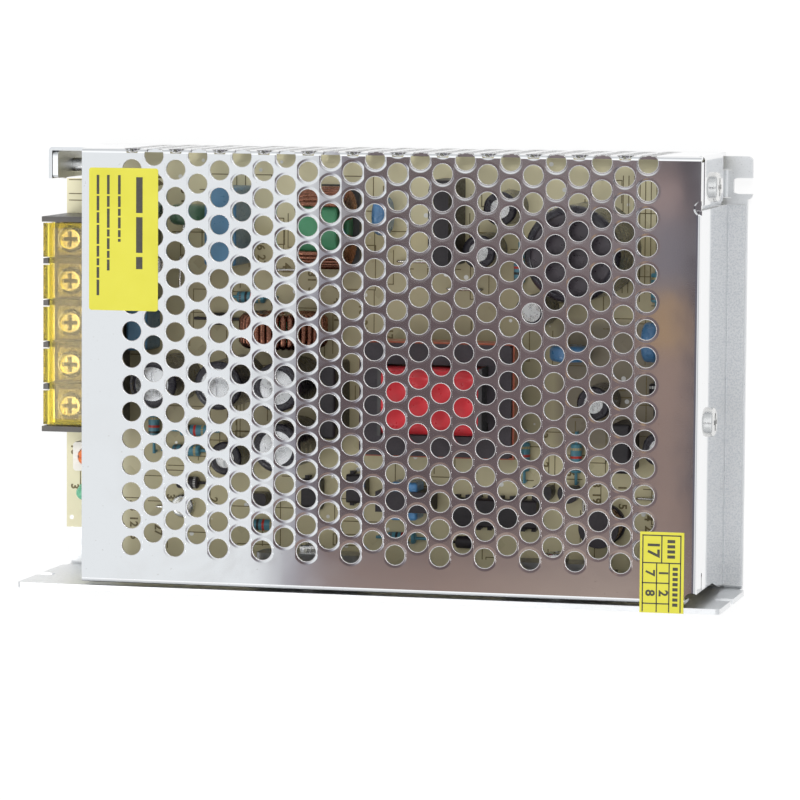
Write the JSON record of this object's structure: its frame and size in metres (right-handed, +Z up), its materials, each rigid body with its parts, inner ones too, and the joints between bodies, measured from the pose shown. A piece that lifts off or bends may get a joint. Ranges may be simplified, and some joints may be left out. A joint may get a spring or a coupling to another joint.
{
  "type": "enclosed switching power supply",
  "caption": "Mesh case switching power supply: folded chassis, perforated cover, board, lidded screw terminals, trimmer and indicator lamp.",
  "frame": {"origin": "centre of the bounding box on the underside of the base", "axes": "+X along the case away from the terminals, +Y towards the perforated side wall, +Z up from the base; right handed"},
  "size_m": [0.16, 0.0991, 0.0381],
  "materials": {
    "chassis_aluminium": "matt etched sheet",
    "cover_steel": "bright plated sheet",
    "screw_steel": "zinc plated",
    "standoff_brass": "plain turned",
    "contact_tin": "tin plated",
    "board_laminate": "khaki laminate with masked tracks",
    "sheet_film": "cream film",
    "block_plastic": "black moulded",
    "lid_plastic": "clear amber",
    "trimmer_blue": "moulded",
    "rotor_orange": "moulded",
    "lamp_green": "tinted epoxy",
    "fuse_glass": "clear",
    "dipped_green": "dipped",
    "film_blue": "moulded",
    "disc_blue": "dipped",
    "ferrite_green": "coated ferrite",
    "ferrite_grey": "sintered ferrite",
    "enamel_copper": "enamelled wire",
    "stand_plastic": "moulded",
    "device_epoxy": "moulded",
    "can_aluminium": "drawn can",
    "sleeve_dark": "shrunk sleeve",
    "tape_red": "wound tape",
    "tape_brown": "wound tape",
    "tape_blue": "wound tape",
    "pad_grey": "soft heat pad",
    "clamp_painted": "dark plated",
    "resistor_tan": "lacquered",
    "diode_black": "moulded",
    "label_yellow": "plain self-adhesive paper"
  },
  "bodies": {
    "body": {"base_chassis": "chassis_aluminium", "mesh_cover": "cover_steel", "cover_screws": "screw_steel", "insulation_sheet": "sheet_film", "board_standoffs": "standoff_brass", "circuit_board": "board_laminate", "board_screws": "screw_steel", "terminal_block_body": "block_plastic", "terminal_plates": "contact_tin", "terminal_washers": "screw_steel", "terminal_screws": "standoff_brass", "trimmer_body": "trimmer_blue", "indicator_led": "lamp_green", "fuse_tube": "fuse_glass", "fuse_caps": "contact_tin", "fuse_clips": "contact_tin", "thermistor": "dipped_green", "x_capacitor": "film_blue", "line_choke_core": "ferrite_green", "line_choke_windings": "enamel_copper", "line_choke_stand": "stand_plastic", "bridge_rectifier": "device_epoxy", "bulk_capacitor_can": "can_aluminium", "bulk_capacitor_sleeve": "sleeve_dark", "transformer_core": "ferrite_grey", "transformer_bobbin": "stand_plastic", "transformer_winding": "tape_red", "transformer_core_band": "tape_brown", "output_rectifiers": "device_epoxy", "switching_transistors": "device_epoxy", "insulator_pads": "pad_grey", "clamp_bars": "clamp_painted", "clamp_screws": "screw_steel", "output_choke_core": "ferrite_green", "output_choke_winding": "enamel_copper", "output_capacitor_cans": "can_aluminium", "output_capacitor_sleeves": "sleeve_dark", "small_capacitor_cans": "can_aluminium", "small_capacitor_sleeves": "sleeve_dark", "driver_core": "ferrite_grey", "driver_winding": "tape_blue", "drum_core": "ferrite_grey", "drum_winding": "enamel_copper", "controller_chip": "device_epoxy", "optocouplers": "device_epoxy", "small_transistors": "device_epoxy", "resistors": "resistor_tan", "diodes": "diode_black", "disc_capacitors": "disc_blue", "snubber_capacitors": "device_epoxy", "film_capacitor": "film_blue", "top_label": "label_yellow", "seal_label": "label_yellow"},
    "lid": {"terminal_lid": "lid_plastic"},
    "rotor": {"trimmer_rotor": "rotor_orange"}
  },
  "joints": [
    {"name": "lid_hinge", "type": "hinge", "parent": "body", "child": "lid", "pos_m": [-0.066, 0.0092, 0.0256], "axis": [0, 1, 0], "range_deg": [0, 85]},
    {"name": "rotor_turn", "type": "hinge", "parent": "body", "child": "rotor", "pos_m": [-0.0715, -0.0221, 0.012], "axis": [0, 0, 1], "range_deg": [-135, 135]}
  ]
}
